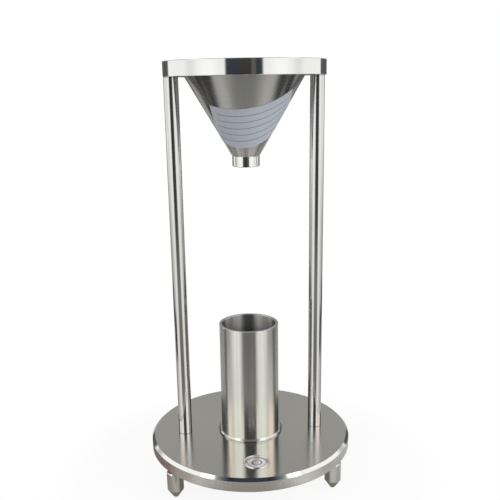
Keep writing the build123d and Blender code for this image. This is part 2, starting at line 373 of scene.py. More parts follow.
@dataclass(frozen=True)
class TurnedSteel(Finish):
    """Stainless steel off a lathe: tool marks run round an axis, handling leaves faint smears.

    The marks are noise along radius plus height, so they cross a wall, a cone and a face alike. A drawn tube
    has streaks along its length as well. Each zone of the piece may have a steel of its own.
    """

    name: str
    tint: Colour
    roughness: float
    anisotropy: float = 0.5
    mark_pitch: float = 0.35 * MM
    mark_depth: float = 0.0003 * MM
    mark_roughness: float = 0.025
    band_pitch: float = 4.0 * MM
    band_depth: float = 0.002 * MM
    band_tone: float = 0.10
    smear_grain: float = 26.0 * MM
    smear_roughness: float = 0.05
    streak_grain: float = 1.1 * MM
    streak_depth: float = 0.0
    streak_tone: float = 0.0
    edge_width: float = 0.5 * MM
    glancing: float = 1.0
    smear_tone: float = 0.12
    tones: Pair = (0.88, 1.1)
    worn_tone: float = 1.14
    worn_cover: float = 0.6
    worn_polish: float = 0.04
    mark_direction: float = 0.25
    zones: Tuple[Tuple[Zone, "TurnedSteel"], ...] = ()
    axis: Pair = (0.0, 0.0)

    def about(self, axis: Pair, suffix: str = "") -> "TurnedSteel":
        """The same steel about another axis, under a longer name."""
        return replace(self, axis=axis, name=self.name + suffix)

    def layer(self, graph: Graph, radius: Value, height: Value) -> bpy.types.NodeSocket:
        """Adds the nodes of one zone's steel.

        Args:
            graph: where they go.
            radius: distance from the lathe axis.
            height: height in the row frame.

        Returns:
            The shader's socket.
        """
        across = radius + height
        marks = graph.noise_along(across, self.mark_pitch)
        bands = graph.noise_along(across, self.band_pitch, Detail.FINE)
        smear = graph.noise(self.smear_grain, Detail.FINE)
        edge = graph.edge(self.edge_width)
        tone = (bands - 0.5) * self.band_tone * 2 + (smear - 0.5) * self.smear_tone + 0.5
        relief = marks * (self.mark_depth / self.band_depth) + bands
        if self.streak_depth > 0.0:
            streak = graph.noise(self.streak_grain, Detail.SOFT, STREAK_STRETCH)
            tone = tone + (streak - 0.5) * self.streak_tone * 2
            relief = relief + streak * (self.streak_depth / self.band_depth)
        dull, bright = (toned(self.tint, share) for share in self.tones)
        plain = graph.mix(tone, dull, bright)
        handled = (smear - 0.5) * self.smear_roughness * 2 + (marks - 0.5) * self.mark_roughness * 2
        return graph.principled({
            "Base Color": graph.mix(edge * self.worn_cover, plain, toned(self.tint, self.worn_tone)),
            "Metallic": 1.0,
            "Roughness": self.roughness + handled - edge * self.worn_polish,
            "Anisotropic": self.anisotropy,
            "Anisotropic Rotation": self.mark_direction,
            "Specular Tint": (self.glancing,) * 3,
            "Normal": graph.bump(relief, self.band_depth),
        })

    def surface(self, graph: Graph) -> bpy.types.NodeSocket:
        """Lays each zone's steel over the piece's own.

        Args:
            graph: where the nodes go.

        Returns:
            The shader's socket.
        """
        x, y, height = graph.position()
        radius = axis_distance(x, y, self.axis)
        shader = self.layer(graph, radius, height)
        for zone, steel in self.zones:
            shader = graph.blend(zone.mask(radius, height), shader, steel.layer(graph, radius, height))
        return shader


@dataclass(frozen=True)
class LabelPaper(Finish):
    """Coated paper with five plain rules to write on, read from the label's own UV map.

    A pair of ink_cover or roughness is the least amount and what the fibres add to it.
    """

    name: str = "label_paper"
    paper: Colour = (0.455, 0.487, 0.55)
    tones: Pair = (0.94, 1.05)
    ink: Colour = (0.10, 0.105, 0.12)
    ink_cover: Pair = (0.62, 0.3)
    rules: int = 5
    rule_share: float = 0.10
    rule_soft: float = 0.02
    margin: Pair = (0.07, 0.1)
    margin_soft: float = 0.002
    fibre_grain: float = 0.5 * MM
    fibre_depth: float = 0.008 * MM
    stain_grain: float = 14.0 * MM
    roughness: Pair = (0.42, 0.16)
    gloss: float = 0.35

    def surface(self, graph: Graph) -> bpy.types.NodeSocket:
        """Rules the sheet: a row is a share of the height less its whole part, inked about its middle.

        Args:
            graph: where the nodes go.

        Returns:
            The shader's socket.
        """
        u, v, _ = graph.parts(graph.add("UVMap", {"uv_map": LABEL_UV}).outputs[0])
        side, end = self.margin
        row = ((v - end) * (self.rules / (1.0 - 2 * end))).fraction()
        rule = row.within(0.5 - self.rule_share / 2, 0.5 + self.rule_share / 2, self.rule_soft)
        rule = rule * u.within(side, 1.0 - side, self.margin_soft)
        rule = rule * v.within(end, 1.0 - end, self.margin_soft)
        fibre = graph.noise(self.fibre_grain, Detail.FINE)
        stain = graph.noise(self.stain_grain, Detail.SOFT)
        paper = graph.mix(stain, *(toned(self.paper, share) for share in self.tones))
        return graph.principled({
            "Base Color": graph.mix(rule * (self.ink_cover[0] + fibre * self.ink_cover[1]), paper, self.ink),
            "Roughness": self.roughness[0] + fibre * self.roughness[1],
            "Specular IOR Level": self.gloss,
            "Normal": graph.bump(fibre, self.fibre_depth),
        })


@dataclass(frozen=True)
class LevelDial(Finish):
    """Pale enamel of the level's dial and of the spirit over it, with a ring of painted shade towards the
    wall.
    """

    name: str
    axis: Pair
    radius: float
    pale: Colour = (0.90, 0.885, 0.895)
    # The darker colour towards the wall is painted shade from the housing's wall.
    wall_shade: Colour = (0.40, 0.40, 0.415)
    wall_shade_from: float = 0.72
    wall_shade_cover: float = 0.7
    cloud_grain: float = 2.2 * MM
    cloud_depth: float = 0.01 * MM
    cloud_cover: float = 0.25
    roughness: Pair = (0.22, 0.12)
    coat: float = 1.0
    coat_roughness: float = 0.04

    def surface(self, graph: Graph) -> bpy.types.NodeSocket:
        """Paints shade on the enamel by its distance from the middle, darker towards the wall.

        Args:
            graph: where the nodes go.

        Returns:
            The shader's socket.
        """
        x, y, _ = graph.position()
        out = axis_distance(x, y, self.axis) / self.radius
        cloud = graph.noise(self.cloud_grain)
        shade = out.step(self.wall_shade_from, 1.0) * self.wall_shade_cover + (cloud - 0.5) * self.cloud_cover
        return graph.principled({
            "Base Color": graph.mix(shade, self.pale, self.wall_shade),
            "Roughness": self.roughness[0] + cloud * self.roughness[1],
            "Coat Weight": self.coat,
            "Coat Roughness": self.coat_roughness,
            "Normal": graph.bump(cloud, self.cloud_depth),
        })


@dataclass(frozen=True)
class ClearLens(Finish):
    """Thin clear plastic: it lets the view through and mirrors the room by the angle, with faint rubbing."""

    name: str = "level_lens"
    tint: Colour = (0.99, 0.98, 0.98)
    mirror: Colour = (0.9, 0.9, 0.9)
    straight: float = 0.04
    glancing: float = 0.9
    falloff: float = 5.0
    facing_blend: float = 0.5
    rub_grain: float = 0.9 * MM
    rub_depth: float = 0.002 * MM
    roughness: Pair = (0.03, 0.07)

    def surface(self, graph: Graph) -> bpy.types.NodeSocket:
        """Mixes a mirror over a clear sheet by a power of the facing.

        Args:
            graph: where the nodes go.

        Returns:
            The shader's socket.
        """
        rub = graph.noise(self.rub_grain, Detail.FINE)
        gloss = graph.principled({
            "Base Color": self.mirror,
            "Metallic": 1.0,
            "Roughness": self.roughness[0] + rub * self.roughness[1],
            "Normal": graph.bump(rub, self.rub_depth),
        })
        weight = graph.add("LayerWeight", {}, {"Blend": self.facing_blend})
        facing = Value(graph, weight.outputs["Facing"])
        share = self.straight + facing ** self.falloff * self.glancing
        return graph.blend(share, graph.clear(self.tint), gloss)


@dataclass(frozen=True)
class PrintedInk(Finish):
    """Dark screen ink of the level's target rings."""

    name: str = "level_ink"
    ink: Colour = (0.05, 0.05, 0.06)
    pale_tone: float = 1.8
    grain: float = 0.25 * MM
    depth: float = 0.004 * MM
    roughness: Pair = (0.4, 0.2)

    def surface(self, graph: Graph) -> bpy.types.NodeSocket:
        """Speckles the ink.

        Args:
            graph: where the nodes go.

        Returns:
            The shader's socket.
        """
        grain = graph.noise(self.grain)
        return graph.principled({
            "Base Color": graph.mix(grain, self.ink, toned(self.ink, self.pale_tone)),
            "Roughness": self.roughness[0] + grain * self.roughness[1],
            "Normal": graph.bump(grain, self.depth),
        })


def grid_faces(rows: int, columns: int, wrap_columns: bool = False, wrap_rows: bool = False) -> np.ndarray:
    """Quads of a grid of points.

    Corner (i, j) joins (i, j + 1), (i + 1, j + 1) and (i + 1, j).

    Args:
        rows: points along the first parameter.
        columns: points along the second.
        wrap_columns: whether the last column joins the first.
        wrap_rows: whether the last row joins the first.

    Returns:
        Four point indices for each face.
    """
    i = np.arange(rows if wrap_rows else rows - 1)[:, None]
    j = np.arange(columns if wrap_columns else columns - 1)[None, :]
    below, beside = (i + 1) % rows, (j + 1) % columns
    corners = (i * columns + j, i * columns + beside, below * columns + beside, below * columns + j)
    return np.stack(corners, -1).reshape(-1, 4)


def angles_round(count: int) -> np.ndarray:
    """Angles of equal steps round a circle."""
    return np.linspace(0, 2 * np.pi, count, endpoint=False)


def polar_points(
    radius: np.ndarray, angle: np.ndarray, height: np.ndarray, axis: Pair = (0.0, 0.0),
) -> np.ndarray:
    """Points at a radius, an angle and a height about an upright axis."""
    x, y = axis[0] + radius * np.cos(angle), axis[1] + radius * np.sin(angle)
    return np.stack(np.broadcast_arrays(x, y, height), -1)


def thread_wave(along: np.ndarray, angle: np.ndarray, pitch: float) -> np.ndarray:
    """Triangle wave of length over pitch less turns, a helix: 0 on the thread's crest and 1 at its root."""
    return np.abs(2 * ((along / pitch - angle / (2 * np.pi)) % 1.0) - 1)


def ring_surface(section: np.ndarray, axis: Pair, columns: int) -> Skin:
    """Closed ring: a closed section of radius and height carried round an upright axis.

    Args:
        section: points of the section, each a radius and a height.
        axis: x and y of the axis.
        columns: places round the axis.

    Returns:
        Vertices and faces.
    """
    points = polar_points(section[:, :1], angles_round(columns), section[:, 1:], axis)
    return points.reshape(-1, 3), grid_faces(len(section), columns, True, True).tolist()


def oval_section(radius: float, height: float, half_width: float, half_height: float) -> np.ndarray:
    """Ellipse of two half sizes about a radius and a height, as a section for a ring.

    Args:
        radius: radius of its middle.
        height: height of its middle.
        half_width: half its size outwards.
        half_height: half its size upwards.

    Returns:
        Points of the section.
    """
    turn = angles_round(OVAL_POINTS)
    return np.stack([radius + half_width * np.cos(turn), height + half_height * np.sin(turn)], -1)


def spun_surface(points: np.ndarray) -> Skin:
    """Closed skin of a grid whose columns run round an axis, with a point at each pole.

    Args:
        points: rows by columns by 3; the first and the last row are closed by fans to their centres.

    Returns:
        Vertices and faces.
    """
    rows, columns = points.shape[:2]
    poles = np.stack([points[0].mean(0), points[-1].mean(0)])
    vertices = np.concatenate([points.reshape(-1, 3), poles])
    j = np.arange(columns)
    following = (j + 1) % columns
    first = np.stack([np.full(columns, rows * columns), following, j], -1)
    base = (rows - 1) * columns
    last = np.stack([np.full(columns, rows * columns + 1), base + j, base + following], -1)
    faces = grid_faces(rows, columns, True).tolist() + first.tolist() + last.tolist()
    return vertices, faces


def signed_volume(vertices: np.ndarray, faces: Sequence[Sequence[int]]) -> float:
    """Volume inside a closed skin: a sixth of the triple products of its triangles.

    Args:
        vertices: points.
        faces: point indices of each face.

    Returns:
        The volume, negative where the faces point inwards.
    """
    fans = np.array([(f[0], f[k], f[k + 1]) for f in faces for k in range(1, len(f) - 1)])
    a, b, c = (vertices[fans[:, i]] for i in range(3))
    return float(np.einsum("ij,ij->i", a, np.cross(b, c)).sum() / 6)


def new_mesh(name: str, skin: Skin, crease: Crease) -> bpy.types.Object:
    """Makes a mesh object at the origin with its faces outwards.

    Args:
        name: the object's name.
        skin: points in the row frame, and point indices of each face.
        crease: which edges stay sharp.

    Returns:
        The object, linked to the scene.
    """
    vertices, faces = skin
    if signed_volume(vertices, faces) < 0:
        faces = [list(reversed(face)) for face in faces]
    mesh = bpy.data.meshes.new(name)
    mesh.from_pydata(vertices.tolist(), [], faces)
    mesh.polygons.foreach_set("use_smooth", np.ones(len(mesh.polygons), dtype=bool))
    mesh.set_sharp_from_angle(angle=math.radians(crease.value))
    mesh.update()
    made = bpy.data.objects.new(name, mesh)
    bpy.context.scene.collection.objects.link(made)
    return made


def seat_piece(
    piece: bpy.types.Object, material: bpy.types.Material, body: str,
    stands_for: Sequence[str] = (),
) -> None:
    """Dresses a new piece and joins it to the frame.

    Args:
        piece: the object.
        material: its finish.
        body: CAD body that carries it.
        stands_for: CAD nodes that it replaces.
    """
    piece.data.materials.append(material)
    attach(piece, body)
    if stands_for:
        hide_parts(*stands_for)
    log.info("%s: %d faces, rides on %s", piece.name, len(piece.data.polygons), body)


def dress_node(node: str, material: bpy.types.Material) -> None:
    """Gives a CAD node its finish and leaves its shape alone.

    Args:
        node: the CAD node.
        material: its finish.
    """
    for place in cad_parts[node].material_slots:
        place.material = material
    log.info("%s: dressed in %s", node, material.name)


def box_axis(node: str) -> Pair:
    """Middle of a node's box in x and y, which is the axis of a turned part."""
    low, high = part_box(node)
    return (low.x + high.x) / 2, (low.y + high.y) / 2


class Facing(Enum):
    """Which way a screw's head looks."""

    UP = 1.0
    DOWN = -1.0


@dataclass
class CapScrew:
    """Socket-head cap screw as one spun skin, from the socket's floor to the end of the thread.

    Each row of the skin is a radius at a depth under the head's top. Socket rows take the radius of a
    hexagon, a / cos(angle from the nearest flat's middle). Head rows lose a knurl of cosine teeth.
    Thread rows lose a triangle wave of depth over pitch less angle, which is a helix.
    """

    thread: float
    head: float
    head_height: float
    socket: float
    length: float
    pitch: float
    facing: Facing
    head_bevel: float = 0.35 * MM
    socket_rows: Tuple[Pair, ...] = ((0.2, 0.55), (0.9, 0.5), (1.0, 0.48), (1.0, 0.04), (1.06, 0.0))
    knurl_teeth: int = 36
    knurl_depth: float = 0.09 * MM
    thread_ends: Pair = (0.3, 0.7)
    end_depth: float = 0.6
    columns: int = 108
    rows_per_turn: int = 6

    def skin(self, x: float, y: float, top: float) -> Skin:
        """Works out the skin.

        Args:
            x: place of the axis.
            y: place of the axis.
            top: height of the head's outer face.

        Returns:
            Vertices and faces.
        """
        angle = angles_round(self.columns)
        plain = np.ones_like(angle)
        hexagon = 1.0 / np.cos((angle + np.pi / 6) % (np.pi / 3) - np.pi / 6)
        head, shank, bevel = self.head / 2, self.thread / 2, self.head_bevel
        knurled = head - self.knurl_depth * (0.5 - 0.5 * np.cos(self.knurl_teeth * angle))
        turns = (self.length - self.pitch) / self.pitch
        first, last = (share * self.pitch for share in self.thread_ends)
        along = np.linspace(first, self.length - last, int(turns * self.rows_per_turn))
        grooves = THREAD_DEPTH * self.pitch * thread_wave(along[:, None], angle, self.pitch)
        radii = [
            *(share * self.socket / 2 * hexagon for share, _ in self.socket_rows),
            (head - bevel) * plain, knurled, knurled, (head - bevel) * plain, shank * plain,
            *(shank - grooves),
            (shank - self.end_depth * self.pitch) * plain,
        ]
        depths = [
            *(share * self.head_height for _, share in self.socket_rows),
            0.0, bevel, self.head_height - bevel, self.head_height, self.head_height,
            *(self.head_height + along),
            self.head_height + self.length,
        ]
        height = top - self.facing.value * np.array(depths)[:, None]
        return spun_surface(polar_points(np.array(radii), angle, height, (x, y)))


def joined_skins(skins: Sequence[Skin]) -> Skin:
    """Puts several skins into one.

    Args:
        skins: vertices and faces of each.

    Returns:
        Vertices and faces of all.
    """
    starts = np.cumsum([0] + [len(vertices) for vertices, _ in skins])
    faces = [[start + k for k in face] for start, (_, part) in zip(starts, skins) for face in part]
    return np.concatenate([vertices for vertices, _ in skins]), faces


@dataclass
class Stand:
    """Base plate, two posts, top ring, and the four screws that hold them together."""

    body: str = "stand"
    plate: TurnedSteel = TurnedSteel(
        "plate_steel", (0.60, 0.595, 0.565), 0.17, anisotropy=0.55, mark_pitch=0.5 * MM,
        mark_depth=0.0004 * MM, band_pitch=3.0 * MM, band_depth=0.0016 * MM, smear_grain=34.0 * MM,
        smear_roughness=0.03,
        zones=(
            (Zone((74.95 * MM, 1.0), (-1.0, 32.4 * MM)), TurnedSteel(
                "plate_rim", (0.60, 0.585, 0.56), 0.27, mark_depth=0.00005 * MM, mark_roughness=0.004,
                band_pitch=1.5 * MM, band_depth=0.0008 * MM, smear_grain=16.0 * MM)),
            (Zone((73.05 * MM, 1.0), (32.5 * MM, 1.0)), TurnedSteel(
                "plate_bevel", (0.78, 0.78, 0.76), 0.06, anisotropy=0.3, band_pitch=1.0 * MM,
                band_depth=0.0006 * MM)),
        ))
    post: TurnedSteel = TurnedSteel(
        "post_steel", (0.64, 0.635, 0.62), 0.12, anisotropy=0.45, mark_depth=0.0001 * MM,
        band_pitch=14.0 * MM, band_depth=0.001 * MM, band_tone=0.08, smear_grain=18.0 * MM)
    ring: TurnedSteel = TurnedSteel(
        "ring_steel", (0.74, 0.74, 0.73), 0.08, anisotropy=0.35, mark_depth=0.0002 * MM,
        band_depth=0.0006 * MM, band_pitch=1.6 * MM, band_tone=0.03, smear_roughness=0.02)
    screw: TurnedSteel = TurnedSteel(
        "screw_steel", (0.50, 0.50, 0.50), 0.3, anisotropy=0.0, band_pitch=1.2 * MM, smear_grain=3.0 * MM,
        edge_width=0.2 * MM)
    plate_screw: CapScrew = field(default_factory=lambda: CapScrew(
        5.0 * MM, 8.5 * MM, 5.0 * MM, 4.0 * MM, 14.5 * MM, 0.8 * MM, Facing.DOWN))
    ring_screw: CapScrew = field(default_factory=lambda: CapScrew(
        4.0 * MM, 7.0 * MM, 4.0 * MM, 3.0 * MM, 13.5 * MM, 0.7 * MM, Facing.UP))

    def build(self) -> None:
        """Builds both pairs of screws and dresses the plate, the posts and the ring."""
        dress_node("base_plate", self.plate.make())
        dress_node("top_ring", self.ring.make())
        for side in ("left", "right"):
            node = "post_" + side
            dress_node(node, self.post.about(box_axis(node), "_" + side).make())
        steel = self.screw.make()
        for node, screw in (("post_base_screws", self.plate_screw), ("ring_screws", self.ring_screw)):
            low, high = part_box(node)
            top = high.z if screw.facing is Facing.UP else low.z
            reach = high.x - screw.head / 2
            pair = joined_skins([screw.skin(x, 0.0, top) for x in (-reach, reach)])
            piece = new_mesh("cap_" + node, pair, Crease.SCREW)
            seat_piece(piece, steel, self.body, [node])


@dataclass
class Funnel:
    """Cone, outlet, and the blank label wrapped on the cone."""

    body: str = "funnel"
    half_angle: float = math.radians(30.4)
    label_width: float = 62.0 * MM
    label_height: float = 30.0 * MM
    label_thickness: float = 0.15 * MM
    label_glue: float = 0.02 * MM
    label_margin: float = 9.2 * MM
    label_tilt: float = math.radians(15.7)
    label_azimuth: float = math.radians(13.9)
    label_columns: int = 121
    label_rows: int = 61
    label_curl: float = 0.05 * MM
    curl_power: int = 24
    cone: TurnedSteel = TurnedSteel(
        "cone_steel", (0.58, 0.575, 0.55), 0.2, anisotropy=0.45, mark_pitch=0.4 * MM, mark_depth=0.0004 * MM,
        band_pitch=2.6 * MM, band_depth=0.002 * MM, band_tone=0.13, smear_grain=20.0 * MM)
    outlet: TurnedSteel = TurnedSteel(
        "outlet_steel", (0.74, 0.74, 0.70), 0.1, anisotropy=0.3, mark_depth=0.0003 * MM,
        band_depth=0.001 * MM, band_pitch=1.5 * MM, band_tone=0.04, smear_roughness=0.03)
    paper: LabelPaper = LabelPaper()

    def label_points(self, u: np.ndarray, v: np.ndarray, lift: np.ndarray) -> np.ndarray:
        """Points of the label, laid on the cone as a flat sheet rolls on it.

        A place on the flat sheet has a distance and an angle about the unrolled cone's apex. The distance is
        the slant length down the cone. The angle divided by the sine of the half angle is the turn round it.

        Args:
            u: share of the width, from 0 to 1.
            v: share of the height, from 0 to 1.
            lift: height above the cone, in metres.

        Returns:
            Points in the row frame.
        """
        outlet_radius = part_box("funnel_outlet")[1].x
        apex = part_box("funnel_cone")[0].z - outlet_radius / math.tan(self.half_angle)
        middle = outlet_radius / math.sin(self.half_angle) + self.label_margin + self.label_height / 2
        across, along = (u - 0.5) * self.label_width, (v - 0.5) * self.label_height
        flat_x = across * math.cos(self.label_tilt) - along * math.sin(self.label_tilt)
        flat_y = middle + across * math.sin(self.label_tilt) + along * math.cos(self.label_tilt)
        slant = np.hypot(flat_x, flat_y)
        turn = self.label_azimuth + np.arctan2(flat_x, flat_y) / math.sin(self.half_angle)
        radius = slant * math.sin(self.half_angle) + lift * math.cos(self.half_angle)
        height = apex + slant * math.cos(self.half_angle) - lift * math.sin(self.half_angle)
        return np.stack([radius * np.sin(turn), -radius * np.cos(turn), height], -1)

    def build_label(self) -> bpy.types.Object:
        """Builds the label as a thin closed sheet whose rim stands off a little.

        Returns:
            The label.
        """
        rows, columns = self.label_rows, self.label_columns
        v, u = np.meshgrid(np.linspace(0, 1, rows), np.linspace(0, 1, columns), indexing="ij")
        rim = np.maximum(np.abs(2 * u - 1), np.abs(2 * v - 1)) ** self.curl_power
        under = self.label_glue + self.label_curl * rim
        outer = self.label_points(u, v, under + self.label_thickness).reshape(-1, 3)
        inner = self.label_points(u, v, under).reshape(-1, 3)
        front = grid_faces(rows, columns)
        count = rows * columns
        index = np.arange(count).reshape(rows, columns)
        border = np.concatenate([index[0, :-1], index[:-1, -1], index[-1, :0:-1], index[:0:-1, 0]])
        following = np.roll(border, -1)
        walls = np.stack([border, border + count, following + count, following], -1)
        faces = np.concatenate([front, front[:, ::-1] + count, walls]).tolist()
        label = new_mesh("label_sheet", (np.concatenate([outer, inner]), faces), Crease.SHEET)
        shares = np.tile(np.stack([u.ravel(), v.ravel()], -1), (2, 1))
        corners = np.empty(len(label.data.loops), dtype=np.int32)
        label.data.loops.foreach_get("vertex_index", corners)
        layer = label.data.uv_layers.new(name=LABEL_UV)
        layer.data.foreach_set("uv", shares[corners].astype(np.float32).ravel())
        return label

    def build(self) -> None:
        """Builds the label and dresses the cone and the outlet."""
        dress_node("funnel_cone", self.cone.make())
        dress_node("funnel_outlet", self.outlet.make())
        seat_piece(self.build_label(), self.paper.make(), self.body, ["funnel_label"])


@dataclass
class MeasuringCup:
    """Cup wall with broken rim edges, and its floor: satin outside, duller in the bore, with painted shade
    deep in the bore.
    """

    body: str = "cup"
    bore: float = 19.5 * MM
    inner_bevel: float = 0.35 * MM
    outer_bevel: float = 0.25 * MM
    columns: int = 240
    steel: TurnedSteel = TurnedSteel(
        "cup_steel", (0.65, 0.645, 0.615), 0.23, anisotropy=0.90, mark_depth=0.00005 * MM,
        mark_roughness=0.004, band_pitch=9.0 * MM, band_depth=0.0006 * MM, band_tone=0.04,
        streak_depth=0.008 * MM, streak_tone=0.6,
        zones=(
            (Zone((-1.0, 19.6 * MM), (-1.0, 1.0)), TurnedSteel(
                "cup_bore", (0.68, 0.675, 0.66), 0.385, anisotropy=1.0, streak_grain=1.8 * MM,
                streak_depth=0.05 * MM, streak_tone=1.2, glancing=0.0)),
            # The lower bore is painted dark: painted shade deep in the cup, where little light gets in.
            (Zone((-1.0, 19.6 * MM), (-1.0, 107.5 * MM), (0.05 * MM, 9.0 * MM)), TurnedSteel(
                "cup_depth_painted_shade", (0.13, 0.13, 0.135), 0.38, anisotropy=1.0, streak_grain=1.8 * MM,
                streak_depth=0.05 * MM, glancing=0.2)),
            (Zone((19.5 * MM, 21.7 * MM), (119.9 * MM, 1.0)), TurnedSteel(
                "cup_rim", (0.54, 0.54, 0.53), 0.34, anisotropy=0.3, band_pitch=0.6 * MM)),
        ))

    def wall_section(self) -> np.ndarray:
        """Upright wall whose two rim edges are cut off straight.

        Returns:
            Points of the section, each a radius and a height.
        """
        low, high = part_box("cup_tube")
        outer, top = high.x, high.z
        corners = [
            (self.bore, low.z), (outer, low.z),
            (outer, top - self.outer_bevel), (outer - self.outer_bevel, top),
            (self.bore + self.inner_bevel, top), (self.bore, top - self.inner_bevel),
        ]
        return np.array(corners)

    def build(self) -> None:
        """Builds the wall and dresses both parts of the cup in one steel."""
        steel = self.steel.make()
        dress_node("cup_base", steel)
        wall = new_mesh("cup_wall", ring_surface(self.wall_section(), (0.0, 0.0), self.columns), Crease.WALL)
        seat_piece(wall, steel, self.body, ["cup_tube"])


@dataclass
class BubbleLevel:
    """Housing, dial, spirit and lens of the level, with its rolled rim, target rings and bubble, whose dark
    outline is painted shade in ink.
    """

    body: str = "stand"
    ring_radii: Tuple[float, ...] = (3.4 * MM, 6.5 * MM)
    ring_half_widths: Tuple[float, ...] = (0.36 * MM, 0.14 * MM)
    ring_cover: float = 0.45 * MM
    ring_half_height: float = 0.05 * MM
    bubble_radius: float = 1.5 * MM
    bubble_depth: float = 0.7 * MM
    bubble_shift: Pair = (-0.6 * MM, 1.3 * MM)
    spirit_gap: float = 0.03 * MM
    spirit_middle: float = 0.01
    spirit_rows: int = 60
    bubble_shade_half_width: float = 0.16 * MM
    rim_half_width: float = 0.52 * MM
    rim_half_height: float = 0.32 * MM
    columns: int = 120
    lens_hollow: float = 0.35 * MM
    metal: TurnedSteel = TurnedSteel(
        "level_metal", (0.86, 0.86, 0.85), 0.24, anisotropy=0.0, mark_pitch=0.2 * MM, band_pitch=0.8 * MM,
        band_depth=0.0006 * MM, smear_grain=4.0 * MM, edge_width=0.25 * MM)
    lens: ClearLens = ClearLens()
    ink: PrintedInk = PrintedInk()

    def spirit_skin(self, axis: Pair) -> Skin:
        """Spirit under the lens: its top follows the dished lens and dips round the bubble.

        On circles of growing radius the top is the lens's paraboloid, less half an ellipsoid where the bubble
        is. A wall and a flat bottom close it.

        Args:
            axis: middle of the level.

        Returns:
            Vertices and faces.
        """
        low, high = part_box("level_fluid")
        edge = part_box("level_lens")[0].z
        reach = (high.x - low.x) / 2 - self.spirit_gap
        angle = angles_round(self.columns)
        out = np.linspace(self.spirit_middle, 1.0, self.spirit_rows)[:, None] * reach
        x, y, _ = np.moveaxis(polar_points(out, angle, 0.0), -1, 0)
        away = ((x - self.bubble_shift[0]) ** 2 + (y - self.bubble_shift[1]) ** 2) / self.bubble_radius ** 2
        dip = self.bubble_depth * np.sqrt(np.clip(1 - away, 0, 1))
        top = edge - self.spirit_gap + self.lens_hollow * (1 - (out / reach) ** 2) - dip
        bottom = low.z + self.spirit_gap
        return spun_surface(np.concatenate([
            polar_points(out, angle, top, axis),
            polar_points(out[[-1, 0]], angle, bottom, axis),
        ]))

    def add_ring(
        self, name: str, section: np.ndarray, axis: Pair, finish: bpy.types.Material,
    ) -> None:
        """Adds one thin ring of the level.

        Args:
            name: the piece's name.
            section: its section, radius and height.
            axis: its middle.
            finish: its material.
        """
        ring = new_mesh(name, ring_surface(section, axis, self.columns), Crease.ROUND)
        seat_piece(ring, finish, self.body)

    def build(self) -> None:
        """Builds rim, rings, spirit and the bubble's ink outline of painted shade, and dresses the level's
        other CAD parts.
        """
        axis = box_axis("level_housing")
        low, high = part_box("level_lens")
        radius = (high.x - low.x) / 2
        metal, ink = self.metal.about(axis).make(), self.ink.make()
        dress_node("level_housing", metal)
        dress_node("level_dial", LevelDial("level_dial", axis, radius).make())
        spirit = new_mesh("level_spirit", self.spirit_skin(axis), Crease.SHEET)
        enamel = LevelDial("level_fluid", axis, radius).make()
        seat_piece(spirit, enamel, self.body, ["level_fluid"])
        dress_node("level_lens", self.lens.make())
        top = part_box("level_housing")[1]
        rim_radius = top.x - axis[0] - self.rim_half_width
        rim = oval_section(rim_radius, top.z, self.rim_half_width, self.rim_half_height)
        self.add_ring("level_rim", rim, axis, metal)
        printed = high.z - self.ring_cover
        for number, (ring, half_width) in enumerate(zip(self.ring_radii, self.ring_half_widths), 1):
            mark = oval_section(ring, printed, half_width, self.ring_half_height)
            self.add_ring(f"level_mark_{number}", mark, axis, ink)
        # The bubble's outline is an ink ring: painted shade where the bubble's edge looks dark.
        place = (axis[0] + self.bubble_shift[0], axis[1] + self.bubble_shift[1])
        crown = low.z + self.lens_hollow + 2 * self.ring_half_height
        edge = oval_section(self.bubble_radius, crown, self.bubble_shade_half_width, self.ring_half_height)
        self.add_ring("level_bubble_shade_ring", edge, place, ink)


@dataclass
class LevellingFoot:
    """Pointed barrel on a threaded stud."""

    place: str
    pitch: float = 1.0 * MM
    rows_per_turn: int = 10
    columns: int = 84
    end_bevel: float = 0.6 * MM
    barrel: TurnedSteel = TurnedSteel(
        "foot_steel", (0.56, 0.55, 0.53), 0.24, anisotropy=0.4, mark_pitch=0.3 * MM, band_pitch=2.0 * MM,
        smear_grain=8.0 * MM)
    thread: TurnedSteel = TurnedSteel(
        "stud_steel", (0.45, 0.44, 0.42), 0.35, anisotropy=0.0, band_pitch=1.0 * MM, smear_grain=4.0 * MM,
        edge_width=0.15 * MM)

    def stud_skin(self, node: str) -> Skin:
        """Threaded rod as a radius over angle and height.

        The crest radius loses a triangle wave of height over pitch less angle, which is a helix, and tapers
        to the root within a bevel at both ends.

        Args:
            node: CAD stud whose box gives axis, radius and length.

        Returns:
            Vertices and faces.
        """
        low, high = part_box(node)
        axis, crest = box_axis(node), (high.x - low.x) / 2
        rows = int((high.z - low.z) / self.pitch * self.rows_per_turn)
        height = np.linspace(low.z, high.z, rows)[:, None]
        angle = angles_round(self.columns)
        depth = THREAD_DEPTH * self.pitch
        end = np.clip(np.minimum(height - low.z, high.z - height) / self.end_bevel, 0, 1)
        lost = np.maximum(thread_wave(height, angle, self.pitch), 1 - end)
        return spun_surface(polar_points(crest - depth * lost, angle, height, axis))

    def build(self) -> None:
        """Builds the threaded stud and dresses the barrel."""
        barrel, stud = "foot_" + self.place, "foot_stud_" + self.place
        axis = box_axis(barrel)
        steel, thread = (finish.about(axis, "_" + self.place).make() for finish in (self.barrel, self.thread))
        dress_node(barrel, steel)
        piece = new_mesh("thread_" + self.place, self.stud_skin(stud), Crease.THREAD)
        seat_piece(piece, thread, self.place + "_foot", [stud])


@dataclass(frozen=True)
class Panel:
    """One patch of the tent or of the table under the object.

    Azimuths are in degrees from the tent's front. The rise is an elevation in degrees on the tent, and a
    radius in metres on the table.
    """

    azimuth: Pair
    rise: Pair
    soft: Pair
    colour: Colour
    both_sides: bool = True

    def mask(self, azimuth: Value, rise: Value) -> Value:
        """Where the patch is, from 0 to 1, by place round the object and upwards or outwards."""
        across = (abs(azimuth) if self.both_sides else azimuth).within(*self.azimuth, self.soft[0])
        return across * rise.within(*self.rise, self.soft[1])


